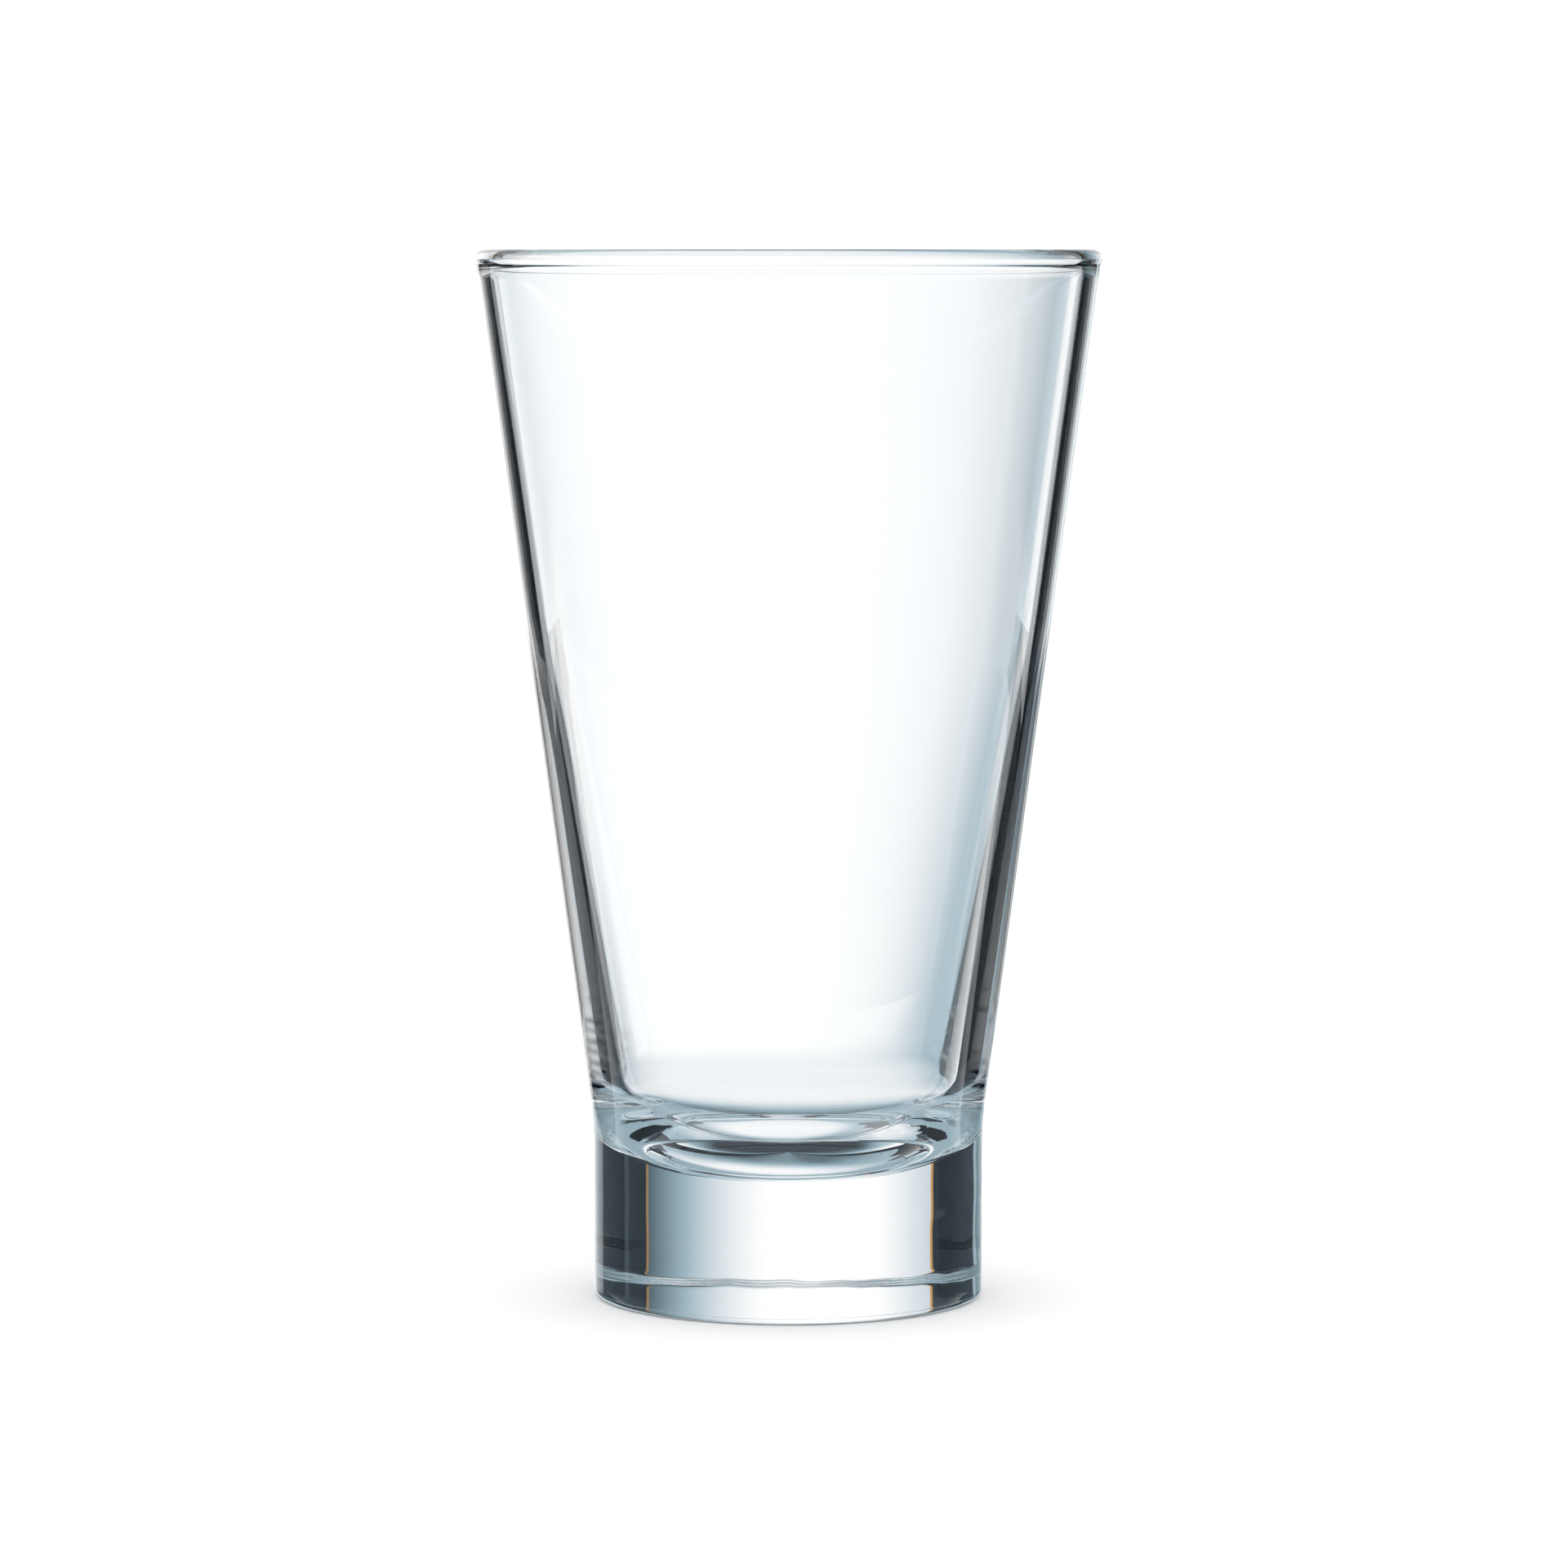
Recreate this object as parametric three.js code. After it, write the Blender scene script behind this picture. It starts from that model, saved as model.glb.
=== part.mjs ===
// A flared drinking glass with a heavy solid foot, in millimetres, +Z up.
// It is one piece of clear glass, a surface of revolution about Z. The origin is the
// centre of the flat underside, so the table is the plane z = 0.
import * as THREE from "three";

// Driving dimensions.
const HEIGHT = 152; // table to the top of the rim
const RIM_RADIUS = 45.25; // widest point of the rim bead
const BEAD = 1.42; // radius of the rounded, fire-polished bead's section
const FOOT_RADIUS = 28.3; // the straight side of the solid foot
const FOOT_HEIGHT = 25.4; // where the foot's side meets the line of the flared wall
const FOOT_EDGE = 1.2; // rounding between the foot's side and the underside
const WAIST_BLEND = 60; // radius that eases the foot into the flared wall
const WALL = 2.2; // thickness of the upper wall, measured level
const BEAD_OVERHANG = 0.15; // how far the bead stands out from the wall
const BEND_HEIGHT = 94; // below this the wall thickens towards the foot
const BEND_BLEND = 300; // radius of the gentle bend in the inner wall
const FLOOR_HEIGHT = 18.5; // floor of the cavity, over the solid foot
const FLOOR_RADIUS = 22.2; // the inner wall's line where it reaches the floor's height
const FLOOR_CORNER = 18; // rounding between the floor and the inner wall

const SIDES = 72; // facets round the glass
const ARC_STEP = THREE.MathUtils.degToRad(15); // most that one facet of an arc turns

// The bead's section is a circle about this point.
const bead = new THREE.Vector2(RIM_RADIUS - BEAD, HEIGHT - BEAD);

// The outer wall is a straight line from the top of the foot to just inside the bead.
const outerFoot = new THREE.Vector2(FOOT_RADIUS, FOOT_HEIGHT);
const outerTop = new THREE.Vector2(RIM_RADIUS - BEAD_OVERHANG, bead.y);
const flare = (outerTop.x - outerFoot.x) / (outerTop.y - outerFoot.y);

// The upper inner wall runs parallel to it, and the lower one leans in to the floor.
const innerTop = new THREE.Vector2(outerTop.x - WALL, bead.y);
const innerBend = new THREE.Vector2(innerTop.x - flare * (bead.y - BEND_HEIGHT), BEND_HEIGHT);
const innerFloor = new THREE.Vector2(FLOOR_RADIUS, FLOOR_HEIGHT);

// Points on an arc about a centre, both ends included.
function arc(centre, radius, from, to) {
  const count = Math.max(2, Math.ceil(Math.abs(to - from) / ARC_STEP));
  return Array.from({ length: count + 1 }, (_, i) => {
    const angle = from + ((to - from) * i) / count;
    return new THREE.Vector2(Math.cos(angle), Math.sin(angle)).multiplyScalar(radius).add(centre);
  });
}

// The corner at b, between the lines from a and to c, rounded to a radius.
function rounded(a, b, c, radius) {
  const back = a.clone().sub(b).normalize();
  const ahead = c.clone().sub(b).normalize();
  const half = Math.acos(back.dot(ahead)) / 2;
  const middle = back.clone().add(ahead).normalize();
  const centre = b.clone().addScaledVector(middle, radius / Math.sin(half));
  const reach = radius / Math.tan(half);
  const start = b.clone().addScaledVector(back, reach).sub(centre).angle();
  const end = b.clone().addScaledVector(ahead, reach).sub(centre).angle();
  const turn = Math.atan2(Math.sin(end - start), Math.cos(end - start));
  return arc(centre, radius, start, start + turn);
}

// The bead's arc, over the top from the outer wall's line to the inner wall's line.
// It has a point at its widest and at its highest, so the rim's size is exact.
function beadArc() {
  const lean = Math.atan(flare);
  const outerDrop = Math.acos(((outerTop.x - bead.x) * Math.cos(lean)) / BEAD);
  const innerDrop = Math.acos(((bead.x - innerTop.x) * Math.cos(lean)) / BEAD);
  return [
    ...arc(bead, BEAD, -lean - outerDrop, 0),
    ...arc(bead, BEAD, 0, Math.PI / 2).slice(1),
    ...arc(bead, BEAD, Math.PI / 2, Math.PI - lean + innerDrop).slice(1),
  ];
}

// Half of the glass's section, from the middle of the underside, up the outside,
// over the rim, and down the inside to the middle of the cavity's floor.
function section() {
  const underside = new THREE.Vector2(0, 0);
  const footCorner = new THREE.Vector2(FOOT_RADIUS, 0);
  const floorCentre = new THREE.Vector2(0, FLOOR_HEIGHT);
  return [
    underside,
    ...rounded(underside, footCorner, outerFoot, FOOT_EDGE),
    ...rounded(footCorner, outerFoot, outerTop, WAIST_BLEND),
    ...beadArc(),
    ...rounded(innerTop, innerBend, innerFloor, BEND_BLEND),
    ...rounded(innerBend, innerFloor, floorCentre, FLOOR_CORNER),
    floorCentre,
  ];
}

// LatheGeometry turns its section about Y, so the geometry is stood up on Z.
function tumbler() {
  const geometry = new THREE.LatheGeometry(section(), SIDES).rotateX(Math.PI / 2);
  const glass = new THREE.MeshStandardMaterial({
    color: 0xe6f0f4,
    roughness: 0.02,
    metalness: 0,
    transparent: true,
    opacity: 0.35,
  });
  const mesh = new THREE.Mesh(geometry, glass);
  mesh.name = "tumbler";
  return mesh;
}

const part = new THREE.Group();
part.add(tumbler());

export default part;
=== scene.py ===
"""A clear glass tumbler in a bright-field studio: pale floor, white backdrop, dark cards at its sides."""

import math

import bpy
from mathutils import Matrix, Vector, noise


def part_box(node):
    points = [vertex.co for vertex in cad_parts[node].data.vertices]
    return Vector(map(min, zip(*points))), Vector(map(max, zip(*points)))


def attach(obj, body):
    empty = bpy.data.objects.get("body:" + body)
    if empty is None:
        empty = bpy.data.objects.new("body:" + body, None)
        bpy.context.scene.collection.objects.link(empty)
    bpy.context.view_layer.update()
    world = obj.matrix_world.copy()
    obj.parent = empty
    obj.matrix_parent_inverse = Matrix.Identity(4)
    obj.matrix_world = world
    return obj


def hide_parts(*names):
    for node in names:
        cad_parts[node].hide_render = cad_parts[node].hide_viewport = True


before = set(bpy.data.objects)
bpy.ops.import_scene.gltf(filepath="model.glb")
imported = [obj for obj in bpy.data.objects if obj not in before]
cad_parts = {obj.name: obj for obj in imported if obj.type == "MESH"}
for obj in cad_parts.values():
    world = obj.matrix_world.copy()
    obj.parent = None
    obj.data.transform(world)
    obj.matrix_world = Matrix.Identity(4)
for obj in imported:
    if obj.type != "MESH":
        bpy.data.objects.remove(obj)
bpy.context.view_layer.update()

# Metres. The frame gives the overall size, and these are the parts of the glass's section.
HIGHEST_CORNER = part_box("tumbler")[1]
HEIGHT = HIGHEST_CORNER[2]
RIM_RADIUS = HIGHEST_CORNER[0]
BEAD = 0.00142  # radius of the rim bead's section
BEAD_OVERHANG = 0.00015  # how far the bead stands out from the wall
BEAD_NECK = 0.0012  # hollow rounding between the bead and the wall
FOOT_RADIUS = 0.0283  # the straight side of the solid foot
FOOT_HEIGHT = 0.0254  # where the foot's side meets the line of the flared wall
FOOT_EDGE = 0.0012  # rounding between the foot's side and the underside
WAIST_BLEND = 0.060  # radius that eases the foot into the flared wall
WALL = 0.0022  # thickness of the upper wall, measured level
BEND_HEIGHT = 0.094  # below this the wall thickens towards the foot
BEND_BLEND = 0.300  # radius of the gentle bend in the inner wall
FLOOR_HEIGHT = 0.0185  # floor of the cavity, over the solid foot
FLOOR_RADIUS = 0.0222  # the inner wall's line where it reaches the floor's height
FLOOR_CORNER = 0.018  # rounding between the floor and the inner wall

SIDES = 288  # vertices round the glass
ON_AXIS = 1e-9  # a point nearer the axis than this is on it
WALL_STEP = 0.0015  # spacing of the points along the straight walls
RIPPLE = 0.00005  # height of the mould's ripples in the side of the foot
RIPPLE_SIZE = 0.0036  # and how far apart they are
RIPPLED_SIDE = math.radians(-40)  # where they are strongest, from +X towards +Y
BAND_SHARE = 0.6  # how strong the long level ripples are beside the small ones
BAND_LENGTH = 5  # how many times longer they are round the foot
BAND_CROWDING = 1.5  # and how many times closer together up it

# The finish of the glass: heights and spacings in metres.
GLASS_IOR = 1.52
GLASS_TINTS = ((0.997, 0.999, 1.000, 1), (0.990, 0.995, 0.997, 1))
TINT_SPACING = 0.03
SMEAR_ROUGHNESS = 0.012
SMEAR_SPACING = 0.01
DRAW_LINES = 0.000002  # height of the upright waviness
DRAW_SPACING = 0.004
CHILL_MARKS = 0.000004  # height of the creases
CHILL_SPACING = 0.0032
CHILL_WANDER = 3.0  # how far the creases stray from level
CHILL_WANDER_DETAIL = (2.0, 90.0)  # how finely they do, and at what scale
CHILL_GAPS = 0.005  # spacing of the gaps that break them up
CHILL_BAND = (0.024, 0.028, 0.040, 0.048)  # heights where the creases fade in and out
CHILL_FROM_SEAM = (0.10, 0.40)  # and how far round from a seam they fade out, in radians
WAVE_RATE = 20  # a wave texture's own multiplier of its scale

# The camera: level with the rim, looking slightly down. Its lens and sensor are in millimetres.
CAMERA_DISTANCE = 6.0 * HEIGHT
CAMERA_PITCH = 4.85  # degrees below level
CAMERA_SHIFT = -0.0006
LENS = 144.75
SENSOR = 36.0
LIGHT_BOUNCES = 24  # enough for light to cross the thick foot several times


# ---- the section of the glass ------------------------------------------------------------------


def arc(centre, radius, start, end, step):
    """Points on an arc about a centre, both ends included. The angles and the step are in degrees."""
    count = max(3, math.ceil(abs(end - start) / step))
    angles = [math.radians(start + (end - start) * i / count) for i in range(count + 1)]
    return [centre + radius * Vector((math.cos(a), math.sin(a))) for a in angles]


def bearing(point, centre):
    """The direction of a point from a centre, in degrees."""
    return math.degrees(math.atan2(point.y - centre.y, point.x - centre.x))


def rounded(before, corner, after, radius, step):
    """The corner between two lines, rounded to a radius."""
    back = (before - corner).normalized()
    ahead = (after - corner).normalized()
    half = back.angle(ahead) / 2
    centre = corner + (back + ahead).normalized() * radius / math.sin(half)
    reach = radius / math.tan(half)
    start = bearing(corner + back * reach, centre)
    turn = (bearing(corner + ahead * reach, centre) - start + 180) % 360 - 180
    return arc(centre, radius, start, start + turn, step)


def bead_neck(bead, wall_point, lean, side):
    """The hollow rounding from a wall (side 1 outside, -1 inside) onto the bead.

    Returns its points, from the wall to the bead, and the bearing where it meets the bead.
    """
    out = Vector((math.cos(lean), -math.sin(lean))) * side
    down = Vector((-math.sin(lean), -math.cos(lean)))
    gap = (wall_point - bead).dot(out) + BEAD_NECK
    drop = math.sqrt((BEAD + BEAD_NECK) ** 2 - gap**2)
    centre = bead + out * gap + down * drop
    start = bearing(centre - out, centre)
    turn = (bearing(bead, centre) - start + 180) % 360 - 180
    return arc(centre, BEAD_NECK, start, start + turn, 8), bearing(centre, bead)


def joined(*stretches):
    """Stretches of outline as one list, with straight gaps filled in at the wall's spacing."""
    points = list(stretches[0])
    for stretch in stretches[1:]:
        gap = stretch[0] - points[-1]
        count = max(1, math.ceil(gap.length / WALL_STEP))
        points += [points[-1] + gap * (i / count) for i in range(1, count)]
        points += stretch
    return points


def section():
    """Half of the glass's section, up the outside, over the rim and down to the cavity's floor."""
    bead = Vector((RIM_RADIUS - BEAD, HEIGHT - BEAD))
    foot_corner = Vector((FOOT_RADIUS, 0))
    outer_foot = Vector((FOOT_RADIUS, FOOT_HEIGHT))
    outer_top = Vector((RIM_RADIUS - BEAD_OVERHANG, bead.y))
    flare = (outer_top.x - outer_foot.x) / (outer_top.y - outer_foot.y)
    inner_top = outer_top - Vector((WALL, 0))
    inner_bend = Vector((inner_top.x - flare * (bead.y - BEND_HEIGHT), BEND_HEIGHT))
    inner_floor = Vector((FLOOR_RADIUS, FLOOR_HEIGHT))
    underside = Vector((0, 0))
    floor_centre = Vector((0, FLOOR_HEIGHT))
    lean = math.atan(flare)
    outer_neck, outer_bearing = bead_neck(bead, outer_top, lean, 1)
    inner_neck, inner_bearing = bead_neck(bead, inner_top, lean, -1)
    return joined(
        [underside],
        rounded(underside, foot_corner, outer_foot, FOOT_EDGE, 4),
        rounded(foot_corner, outer_foot, outer_top, WAIST_BLEND, 0.8),
        outer_neck,
        arc(bead, BEAD, outer_bearing, inner_bearing % 360, 6)[1:-1],
        inner_neck[::-1],
        rounded(inner_top, inner_bend, inner_floor, BEND_BLEND, 0.4),
        rounded(inner_bend, inner_floor, floor_centre, FLOOR_CORNER, 3),
        [floor_centre],
    )


# ---- the glass ---------------------------------------------------------------------------------


def ripple(angle, point):
    """How far the side of the foot stands out at a place. One side took up more of the mould's ripples."""
    on_side = point.x > FOOT_RADIUS - RIPPLE and FOOT_EDGE < point.y < FOOT_HEIGHT
    if not on_side:
        return 0.0
    fade = math.sin(math.pi * (point.y - FOOT_EDGE) / (FOOT_HEIGHT - FOOT_EDGE)) ** 0.5
    share = 0.5 + 0.5 * math.cos(angle - RIPPLED_SIDE)
    around = Vector((math.cos(angle), math.sin(angle))) * point.x
    place = Vector((around.x, around.y, point.y)) / RIPPLE_SIZE
    long_place = Vector((place.x / BAND_LENGTH, place.y / BAND_LENGTH, place.z * BAND_CROWDING))
    return RIPPLE * fade * share * (noise.noise(place) + BAND_SHARE * noise.noise(long_place))


def turned(outline, sides):
    """Vertices and faces of an outline turned about Z. Points on the axis become one vertex."""
    vertices = []
    rings = []
    for point in outline:
        start = len(vertices)
        if point.x < ON_AXIS:
            vertices.append((0, 0, point.y))
            rings.append([start] * sides)
            continue
        rings.append(list(range(start, start + sides)))
        for i in range(sides):
            angle = math.tau * i / sides
            radius = point.x + ripple(angle, point)
            vertices.append((radius * math.cos(angle), radius * math.sin(angle), point.y))
    faces = []
    for low, high in zip(rings, rings[1:]):
        for i in range(sides):
            j = (i + 1) % sides
            faces.append(list(dict.fromkeys((low[i], low[j], high[j], high[i]))))
    return vertices, faces


def tumbler():
    """The smooth glass that stands in for the faceted one."""
    mesh = bpy.data.meshes.new("glass_tumbler")
    vertices, faces = turned(section(), SIDES)
    mesh.from_pydata(vertices, [], faces)
    mesh.polygons.foreach_set("use_smooth", [True] * len(mesh.polygons))
    mesh.update()
    piece = bpy.data.objects.new("glass_tumbler", mesh)
    bpy.context.scene.collection.objects.link(piece)
    return piece


# ---- nodes -------------------------------------------------------------------------------------


def put(tree, socket, value):
    """Sets a socket to a value, or links it to another socket."""
    if isinstance(value, bpy.types.NodeSocket):
        tree.links.new(value, socket)
    else:
        socket.default_value = value


def sums(tree, operation, *values):
    """One step of arithmetic on values or sockets."""
    node = tree.nodes.new("ShaderNodeMath")
    node.operation = operation
    for socket, value in zip(node.inputs, values):
        put(tree, socket, value)
    return node.outputs[0]


def rise(tree, value, start, end, low=0.0, high=1.0):
    """A smooth rise from low to high as the value goes from start to end."""
    node = tree.nodes.new("ShaderNodeMapRange")
    node.interpolation_type = "SMOOTHSTEP"
    names = ("Value", "From Min", "From Max", "To Min", "To Max")
    for name, setting in zip(names, (value, start, end, low, high)):
        put(tree, node.inputs[name], setting)
    return node.outputs[0]


def blend(tree, amount, under, over):
    """Mixes two colours."""
    node = tree.nodes.new("ShaderNodeMix")
    node.data_type = "RGBA"
    colours = [s for s in node.inputs if s.type == "RGBA"]
    put(tree, node.inputs[0], amount)
    put(tree, colours[0], under)
    put(tree, colours[1], over)
    return next(s for s in node.outputs if s.type == "RGBA")


def patches(tree, place, spacing, *, detail=1.0, stretch=(1.0, 1.0, 1.0)):
    """Soft random patches from 0 to 1, about a spacing apart in metres.

    Along each axis they are drawn out by its stretch.
    """
    size = tree.nodes.new("ShaderNodeMapping")
    size.inputs["Scale"].default_value = [1 / (spacing * s) for s in stretch]
    tree.links.new(place, size.inputs["Vector"])
    noise_node = tree.nodes.new("ShaderNodeTexNoise")
    noise_node.inputs["Scale"].default_value = 1.0
    noise_node.inputs["Detail"].default_value = detail
    tree.links.new(size.outputs[0], noise_node.inputs["Vector"])
    return noise_node.outputs["Fac"]


def draw_lines(tree, place):
    """The faint upright waviness of a pressed wall, as a height in metres."""
    lines = patches(tree, place, DRAW_SPACING, detail=0.0, stretch=(1.0, 1.0, 20.0))
    return sums(tree, "MULTIPLY", lines, DRAW_LINES)


def chill_marks(tree, place):
    """Level creases low in the wall, where the glass chilled by the mould's two seams, at +X and -X.

    Returns their height in metres.
    """
    split = tree.nodes.new("ShaderNodeSeparateXYZ")
    tree.links.new(place, split.inputs[0])
    across, ahead, height = split.outputs
    wave = tree.nodes.new("ShaderNodeTexWave")
    wave.bands_direction = "Z"
    wave.inputs["Scale"].default_value = math.tau / (WAVE_RATE * CHILL_SPACING)
    wave.inputs["Distortion"].default_value = CHILL_WANDER
    wave.inputs["Detail"].default_value = CHILL_WANDER_DETAIL[0]
    wave.inputs["Detail Scale"].default_value = CHILL_WANDER_DETAIL[1]
    tree.links.new(place, wave.inputs["Vector"])
    low, start, end, high = CHILL_BAND
    belt = sums(tree, "MULTIPLY", rise(tree, height, low, start), rise(tree, height, end, high, 1.0, 0.0))
    from_seam = sums(tree, "ABSOLUTE", sums(tree, "ARCTAN2", ahead, sums(tree, "ABSOLUTE", across)))
    belt = sums(tree, "MULTIPLY", belt, rise(tree, from_seam, *CHILL_FROM_SEAM, 1.0, 0.0))
    spots = rise(tree, patches(tree, place, CHILL_GAPS, stretch=(4.0, 4.0, 1.0)), 0.45, 0.55)
    crease = rise(tree, wave.outputs["Fac"], 0.92, 1.0)
    marks = sums(tree, "MULTIPLY", crease, sums(tree, "MULTIPLY", belt, spots))
    return sums(tree, "MULTIPLY", marks, CHILL_MARKS)


def glass_material():
    """Clear pressed glass. Its slight colour, smears and waviness all vary over the surface."""
    material = bpy.data.materials.new("clear_glass")
    material.use_nodes = True
    tree = material.node_tree
    place = tree.nodes.new("ShaderNodeTexCoord").outputs["Object"]
    shader = tree.nodes["Principled BSDF"]
    shader.inputs["Transmission Weight"].default_value = 1.0
    shader.inputs["IOR"].default_value = GLASS_IOR
    tint = rise(tree, patches(tree, place, TINT_SPACING), 0.3, 0.7)
    put(tree, shader.inputs["Base Color"], blend(tree, tint, GLASS_TINTS[0], GLASS_TINTS[1]))
    smears = rise(tree, patches(tree, place, SMEAR_SPACING, stretch=(1.0, 1.0, 2.5)), 0.5, 0.8)
    put(tree, shader.inputs["Roughness"], sums(tree, "MULTIPLY", smears, SMEAR_ROUGHNESS))
    relief = sums(tree, "ADD", draw_lines(tree, place), chill_marks(tree, place))
    bump = tree.nodes.new("ShaderNodeBump")
    bump.inputs["Distance"].default_value = 1.0
    put(tree, bump.inputs["Height"], relief)
    tree.links.new(bump.outputs[0], shader.inputs["Normal"])
    return material


# ---- the studio --------------------------------------------------------------------------------

# This isn't the layout of a real room. It is a pattern of light by direction, tuned until the dark and
# bright bands that it makes in the glass fell where the real glass shows them.

# How bright light is, and its colour: dim light in this studio is bluish.
TONES = (
    (0.00, (0.007, 0.009, 0.012, 1)),
    (0.05, (0.038, 0.050, 0.062, 1)),
    (0.22, (0.145, 0.220, 0.262, 1)),
    (0.50, (0.370, 0.500, 0.570, 1)),
    (0.86, (0.820, 0.860, 0.885, 1)),
    (1.00, (1.000, 1.000, 1.000, 1)),
)
FLOOR_LIGHT = 1.5  # brightness of the plain white that lights the floor
PALE = (0.86, 0.86, 0.86, 1)
WHITE = (1.0, 1.0, 1.0, 1)
AMBER = (0.62, 0.30, 0.06, 1)  # the thin warm edge of the cards' mirror images
CARD = 0.005  # brightness of the black cards
CARD_BLUR = 1.0  # softness of their edges, in degrees
HORIZON_BLUR = 0.5  # and of the line between the table and what stands on it

# The edges of the dark cards, in degrees out from the middle of the backdrop: the first value, then each
# (start, end, change) over which the edge moves. The low edges go by degrees below the horizon, and the
# high ones, of the cards' mirror images, by degrees above it.
LEFT_LOW_INNER = (17.5, (5, 8, 1), (10.5, 13, 6), (19, 28, 15))
LEFT_LOW_OUTER = (32, (2, 9, 9), (9.5, 10.5, 15), (14.5, 16, -3))
RIGHT_LOW_INNER = (19, (9, 15, -3), (19, 25, 8), (30, 38, 17))
RIGHT_LOW_OUTER = (39, (2, 9, 3), (9.5, 10.5, 15), (14.5, 16, -8))
LEFT_HIGH_INNER = (36.5, (22, 30, -12))
LEFT_HIGH_OUTER = (66.5, (11, 14, -9), (22, 30, -15))
RIGHT_HIGH_INNER = (35.3, (22, 30, -13))
RIGHT_HIGH_OUTER = (80, (11, 14, -24), (22, 30, -14))

# The light beyond each card: its bright rim, the room past that, the strip beyond its mirror image, and
# the strength of that image's warm edge.
LEFT_BEYOND = (1.0, 0.5, 0.55, 1.0)
RIGHT_BEYOND = (1.2, 0.65, 0.2, 0.5)

# The stage, in metres: how wide each round plate is, and how far it lies below the glass.
PLATE_SIDES = 96
STAGE_RADIUS = 8.0
STAGE_DROP = 0.0001
GLOSS_RADIUS = 0.25
GLOSS_DROP = 0.00005
GLOSS_ANGLES = (9.5, 10.5)  # the gloss mirrors rays that graze it by less than this, in degrees


def toned(tree, level):
    """The colour of light of this brightness."""
    tone = tree.nodes.new("ShaderNodeValToRGB")
    stops = tone.color_ramp.elements
    for position, colour in TONES[1:-1]:
        stops.new(position).color = colour
    stops[0].color = TONES[0][1]
    stops[-1].color = TONES[-1][1]
    put(tree, tone.inputs[0], level)
    return tone.outputs[0]


def backdrop(tree, azimuth, down, above):
    """The lit paper behind the glass, by degrees to the right and degrees down.

    It fades to both sides, more to the right, a little towards the table, and high up.
    """
    # Its brightness in the middle.
    full = rise(tree, azimuth, -8.0, 0.0, 1.2, 1.14)
    low = rise(tree, down, 9.0, 16.0, full, 0.98)
    high = rise(tree, down, -45.0, -15.0, 0.5, full)
    level = rise(tree, above, 0.0, 1.0, low, high)

    # How it fades to the right, with a brighter strip by the right card.
    low_end = rise(tree, down, 13.0, 18.0, 13.0, 20.0)
    right_start = rise(tree, above, 0.0, 1.0, 0.0, -3.0)
    right_end = rise(tree, above, 0.0, 1.0, low_end, 41.0)
    right_dimmest = rise(tree, above, 0.0, 1.0, 0.48, 0.05)
    to_right = rise(tree, azimuth, right_start, right_end, 1.0, right_dimmest)
    strip = sums(tree, "MULTIPLY", rise(tree, azimuth, 12.0, 14.5), rise(tree, down, 7.0, 13.0, 1.0, 0.0))
    strip = sums(tree, "MULTIPLY", strip, sums(tree, "SUBTRACT", 1.0, above))
    to_right = rise(tree, strip, 0.0, 1.0, to_right, 0.8)

    # How it fades to the left.
    left_start = rise(tree, above, 0.0, 1.0, rise(tree, down, 9.0, 15.0, -16.0, -7.0), -9.0)
    to_left = rise(tree, azimuth, -38.0, left_start, rise(tree, above, 0.0, 1.0, 0.45, 0.6), 1.0)
    return sums(tree, "MULTIPLY", level, sums(tree, "MULTIPLY", to_right, to_left))


def stepped(tree, value, first, *steps):
    """A value that starts at first and changes at each step, given as (start, end, change)."""
    total = first
    for start, end, change in steps:
        total = sums(tree, "ADD", total, rise(tree, value, start, end, 0.0, change))
    return total


def card_edges(tree, down, elevation, above):
    """How far out the cards' edges are: left inner, left outer, right inner, right outer.

    The cards are seen below the horizon, and their mirror images above it, further out.
    """
    low = (LEFT_LOW_INNER, LEFT_LOW_OUTER, RIGHT_LOW_INNER, RIGHT_LOW_OUTER)
    high = (LEFT_HIGH_INNER, LEFT_HIGH_OUTER, RIGHT_HIGH_INNER, RIGHT_HIGH_OUTER)
    below = [stepped(tree, down, *edge) for edge in low]
    mirrored = [stepped(tree, elevation, *edge) for edge in high]
    return [rise(tree, above, 0.0, 1.0, *pair) for pair in zip(below, mirrored)]


def beyond_card(tree, side, out_from, down, above, rim, room, strip):
    """The light beyond a card: a bright rim next to it, the room, and then the front of the studio."""
    rim_light = rise(tree, down, 1.0, 5.0, rim / 2, rim)
    below = rise(tree, out_from, 2.0, 14.0, rim_light, room)
    mirrored = rise(tree, side, 70.0, 72.0, strip, 0.2)
    mirrored = rise(tree, down, -14.0, -11.0, 0.4, mirrored)
    beside = rise(tree, above, 0.0, 1.0, below, mirrored)
    front = rise(tree, above, 0.0, 1.0, 0.6, 0.42)
    return rise(tree, side, 84.0, 100.0, beside, front)


def under_glass(tree, azimuth, down):
    """How much light comes from steeply below, where the table is in the glass's own shade."""
    far_side = rise(tree, down, 35.0, 70.0, 1.0, 0.25)
    near_side = rise(tree, down, 45.0, 60.0, 1.0, 0.05)
    return rise(tree, sums(tree, "ABSOLUTE", azimuth), 50.0, 80.0, far_side, near_side)


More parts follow.
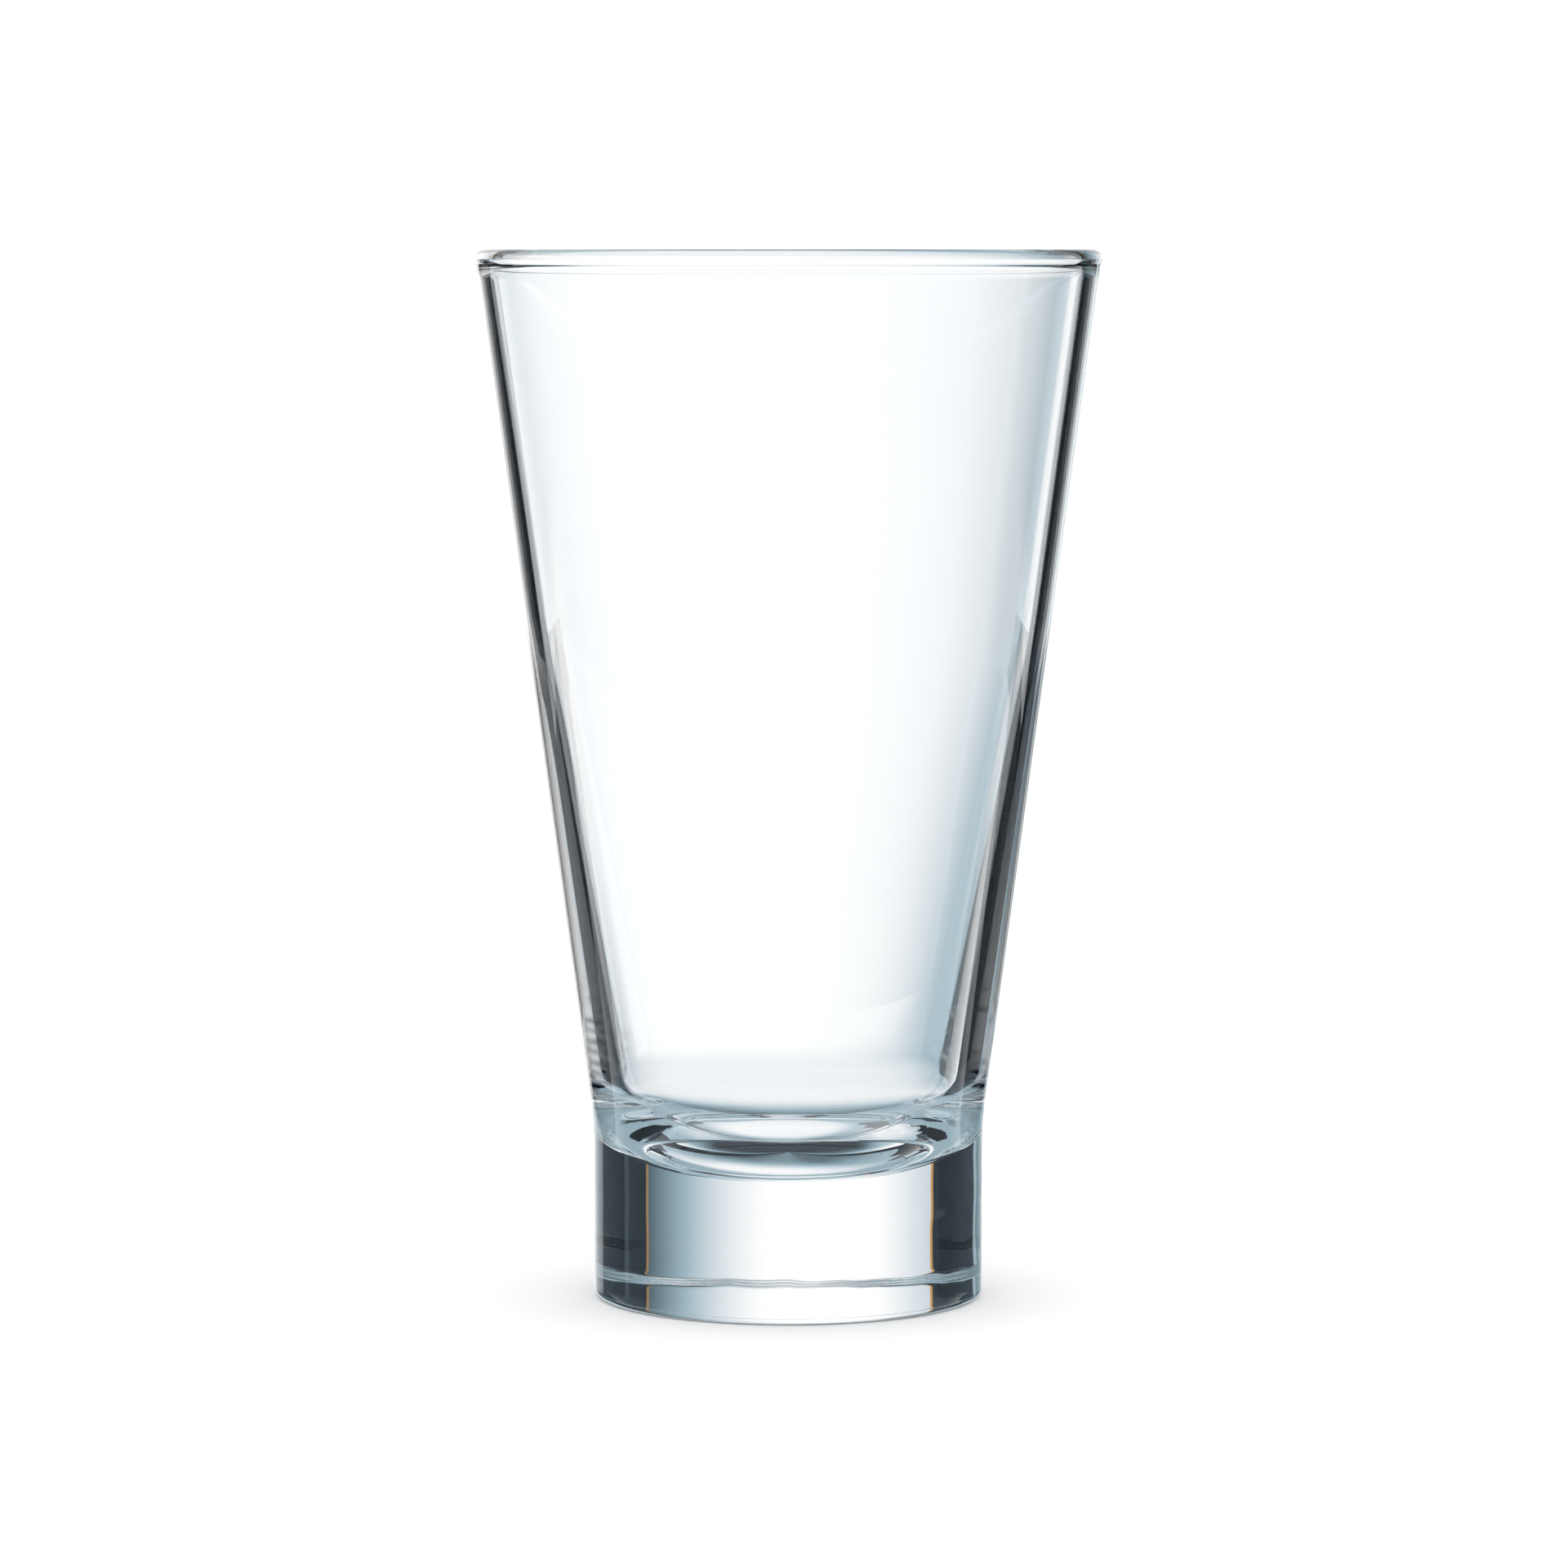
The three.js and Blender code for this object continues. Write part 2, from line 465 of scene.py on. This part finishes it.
def studio_light(tree, azimuth, elevation):
    """The studio's brightness and colour as the glass sees it, by azimuth and elevation in degrees."""
    down = sums(tree, "MULTIPLY", elevation, -1.0)
    left = sums(tree, "MULTIPLY", azimuth, -1.0)
    above = rise(tree, elevation, -HORIZON_BLUR, HORIZON_BLUR)
    left_in, left_out, right_in, right_out = card_edges(tree, down, elevation, above)
    level = backdrop(tree, azimuth, down, above)
    sides = ((left, left_in, left_out, LEFT_BEYOND), (azimuth, right_in, right_out, RIGHT_BEYOND))
    amber = 0.0
    for side, inner, outer, (rim, room, strip, warmth) in sides:
        in_from = sums(tree, "SUBTRACT", side, inner)
        out_from = sums(tree, "SUBTRACT", side, outer)
        beyond = beyond_card(tree, side, out_from, down, above, rim, room, strip)
        level = rise(tree, rise(tree, in_from, -CARD_BLUR, CARD_BLUR), 0.0, 1.0, level, CARD)
        level = rise(tree, rise(tree, out_from, -CARD_BLUR, CARD_BLUR), 0.0, 1.0, level, beyond)
        edge_end = rise(tree, in_from, 0.1, 0.6, 1.0, 0.0)
        edge = sums(tree, "MULTIPLY", rise(tree, in_from, -0.9, -0.3), edge_end)
        edge = sums(tree, "MULTIPLY", edge, warmth)
        amber = sums(tree, "ADD", amber, sums(tree, "MULTIPLY", edge, above))
    level = rise(tree, rise(tree, elevation, 58.0, 66.0), 0.0, 1.0, level, 0.95)
    level = sums(tree, "MULTIPLY", level, under_glass(tree, azimuth, down))
    return blend(tree, amber, toned(tree, level), AMBER), sums(tree, "MAXIMUM", level, 1.0)


def studio_world(rig):
    """The studio as a world. It turns with the rig, so every view of the glass has the same light."""
    world = bpy.data.worlds.new("studio")
    bpy.context.scene.world = world
    world.use_nodes = True
    world.cycles.sampling_method = "NONE"
    tree = world.node_tree
    place = tree.nodes.new("ShaderNodeTexCoord")
    place.object = rig
    split = tree.nodes.new("ShaderNodeSeparateXYZ")
    tree.links.new(place.outputs["Object"], split.inputs[0])
    x, y, z = split.outputs
    azimuth = sums(tree, "DEGREES", sums(tree, "ARCTAN2", x, y))
    elevation = sums(tree, "DEGREES", sums(tree, "ARCSINE", z))
    colour, strength = studio_light(tree, azimuth, elevation)
    light = tree.nodes["Background"]
    put(tree, light.inputs["Color"], colour)
    put(tree, light.inputs["Strength"], strength)

    # The camera sees plain white, and so does the floor, which is lit evenly.
    paper = tree.nodes.new("ShaderNodeBackground")
    paper.inputs["Color"].default_value = WHITE
    paper.inputs["Strength"].default_value = FLOOR_LIGHT
    path = tree.nodes.new("ShaderNodeLightPath")
    plain = sums(tree, "MAXIMUM", path.outputs["Is Camera Ray"], path.outputs["Is Diffuse Ray"])
    mix = tree.nodes.new("ShaderNodeMixShader")
    tree.links.new(plain, mix.inputs[0])
    tree.links.new(light.outputs[0], mix.inputs[1])
    tree.links.new(paper.outputs[0], mix.inputs[2])
    tree.links.new(mix.outputs[0], tree.nodes["World Output"].inputs["Surface"])


def plate(name, radius, z, material):
    """A round stage plate, level, centred on the axis."""
    mesh = bpy.data.meshes.new(name)
    angles = [math.tau * i / PLATE_SIDES for i in range(PLATE_SIDES)]
    rim = [(radius * math.cos(a), radius * math.sin(a), z) for a in angles]
    mesh.from_pydata(rim, [], [list(range(PLATE_SIDES))])
    mesh.materials.append(material)
    item = bpy.data.objects.new(name, mesh)
    bpy.context.scene.collection.objects.link(item)
    return item


def floor():
    """The pale floor that the camera sees. Rays that leave the glass pass it and see the studio."""
    material = bpy.data.materials.new("pale_floor")
    material.use_nodes = True
    shader = material.node_tree.nodes["Principled BSDF"]
    shader.inputs["Base Color"].default_value = PALE
    shader.inputs["Roughness"].default_value = 0.9
    shader.inputs["Specular IOR Level"].default_value = 0.0
    item = plate("floor", STAGE_RADIUS, -STAGE_DROP, material)
    item.visible_transmission = False
    item.visible_glossy = False


def table_gloss():
    """The polish of the table round the glass, seen only in the glass.

    It mirrors the rays that graze it, and lets others by.
    """
    material = bpy.data.materials.new("table_gloss")
    material.use_nodes = True
    tree = material.node_tree
    tree.nodes.clear()
    facing = tree.nodes.new("ShaderNodeNewGeometry")
    split = tree.nodes.new("ShaderNodeSeparateXYZ")
    tree.links.new(facing.outputs["Incoming"], split.inputs[0])
    steep = rise(tree, split.outputs[2], *(math.sin(math.radians(a)) for a in GLOSS_ANGLES))
    mirror = tree.nodes.new("ShaderNodeBsdfGlossy")
    mirror.inputs["Roughness"].default_value = 0.0
    mirror.inputs["Color"].default_value = WHITE
    clear = tree.nodes.new("ShaderNodeBsdfTransparent")
    mix = tree.nodes.new("ShaderNodeMixShader")
    output = tree.nodes.new("ShaderNodeOutputMaterial")
    tree.links.new(steep, mix.inputs[0])
    tree.links.new(mirror.outputs[0], mix.inputs[1])
    tree.links.new(clear.outputs[0], mix.inputs[2])
    tree.links.new(mix.outputs[0], output.inputs[0])
    item = plate("table_gloss", GLOSS_RADIUS, -GLOSS_DROP, material)
    item.visible_camera = False
    item.visible_diffuse = False
    item.visible_shadow = False


def camera():
    """The camera in front of the glass."""
    data = bpy.data.cameras.new("camera")
    data.lens = LENS
    data.sensor_width = SENSOR
    data.clip_start = 0.01
    data.clip_end = 100.0
    item = bpy.data.objects.new("camera", data)
    item.location = (CAMERA_SHIFT, -CAMERA_DISTANCE, HEIGHT)
    item.rotation_euler = (math.radians(90 - CAMERA_PITCH), 0, 0)
    bpy.context.scene.collection.objects.link(item)
    bpy.context.scene.camera = item
    return item


def studio_rig(item):
    """An empty on the glass's axis whose -Y side always faces the camera. The studio turns with it."""
    rig = bpy.data.objects.new("studio_rig", None)
    bpy.context.scene.collection.objects.link(rig)
    turn = rig.constraints.new("LOCKED_TRACK")
    turn.target = item
    turn.track_axis = "TRACK_NEGATIVE_Y"
    turn.lock_axis = "LOCK_Z"
    return rig


# ---- the scene ---------------------------------------------------------------------------------

piece = tumbler()
piece.data.materials.append(glass_material())
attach(piece, "root")
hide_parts("tumbler")

floor()
table_gloss()
studio_world(studio_rig(camera()))

scene = bpy.context.scene
scene.view_settings.view_transform = "Standard"
scene.cycles.use_denoising = True
scene.cycles.max_bounces = LIGHT_BOUNCES
scene.cycles.transmission_bounces = LIGHT_BOUNCES
scene.cycles.glossy_bounces = LIGHT_BOUNCES
scene.cycles.transparent_max_bounces = LIGHT_BOUNCES
scene.cycles.caustics_reflective = True
scene.cycles.caustics_refractive = True
